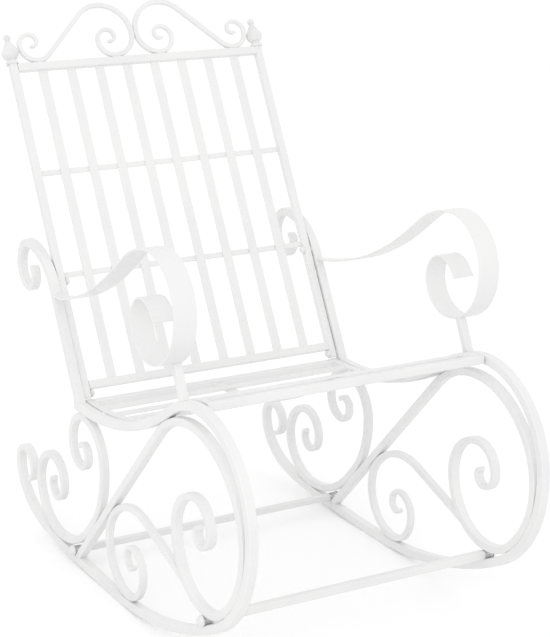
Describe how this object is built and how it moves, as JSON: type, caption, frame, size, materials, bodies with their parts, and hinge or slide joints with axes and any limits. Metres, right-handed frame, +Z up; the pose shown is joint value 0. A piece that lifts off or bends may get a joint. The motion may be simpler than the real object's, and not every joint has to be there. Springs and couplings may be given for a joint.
{
  "type": "rocking chair",
  "caption": "White metal garden rocking chair with scrolled tube side frames, rolled strip arms, a dished slatted seat and a reclined slatted back with a scrolled crest.",
  "frame": {"origin": "middle of the overall box, on the floor under the runners", "axes": "+Z up, the chair faces -Y, +X across the seat; names ending in left are on the -X side, the viewer's left from the front"},
  "size_m": [0.606, 0.9968, 0.9696],
  "materials": {
    "white_paint": "satin",
    "zinc": "satin"
  },
  "bodies": {
    "root": {"arm_post_left": "white_paint", "arm_post_right": "white_paint", "armrest_left": "white_paint", "armrest_right": "white_paint", "back_bolts": "zinc", "back_bottom_rail": "white_paint", "back_cross_bar_lower": "white_paint", "back_cross_bar_upper": "white_paint", "back_post_left": "white_paint", "back_post_right": "white_paint", "back_slat_1": "white_paint", "back_slat_2": "white_paint", "back_slat_3": "white_paint", "back_slat_4": "white_paint", "back_slat_5": "white_paint", "back_slat_6": "white_paint", "back_slat_7": "white_paint", "back_slat_8": "white_paint", "back_top_rail": "white_paint", "back_washers": "zinc", "brace_tube_left": "white_paint", "brace_tube_right": "white_paint", "crest_scroll_left": "white_paint", "crest_scroll_right": "white_paint", "finial_left": "white_paint", "finial_right": "white_paint", "front_stretcher": "white_paint", "rear_c_scroll_left": "white_paint", "rear_c_scroll_right": "white_paint", "rear_stretcher": "white_paint", "rocker_tube_left": "white_paint", "rocker_tube_right": "white_paint", "runner_s_scroll_left": "white_paint", "runner_s_scroll_right": "white_paint", "seat_bolts": "zinc", "seat_front_rail": "white_paint", "seat_middle_bar": "white_paint", "seat_rear_rail": "white_paint", "seat_side_bar_left": "white_paint", "seat_side_bar_right": "white_paint", "seat_slat_1": "white_paint", "seat_slat_2": "white_paint", "seat_slat_3": "white_paint", "seat_slat_4": "white_paint", "seat_slat_5": "white_paint", "seat_slat_6": "white_paint", "seat_slat_7": "white_paint", "seat_slat_8": "white_paint", "seat_slat_9": "white_paint", "seat_spacers": "white_paint", "stretcher_bolts": "zinc", "stretcher_sleeves": "zinc", "upright_left": "white_paint", "upright_right": "white_paint"}
  },
  "joints": []
}
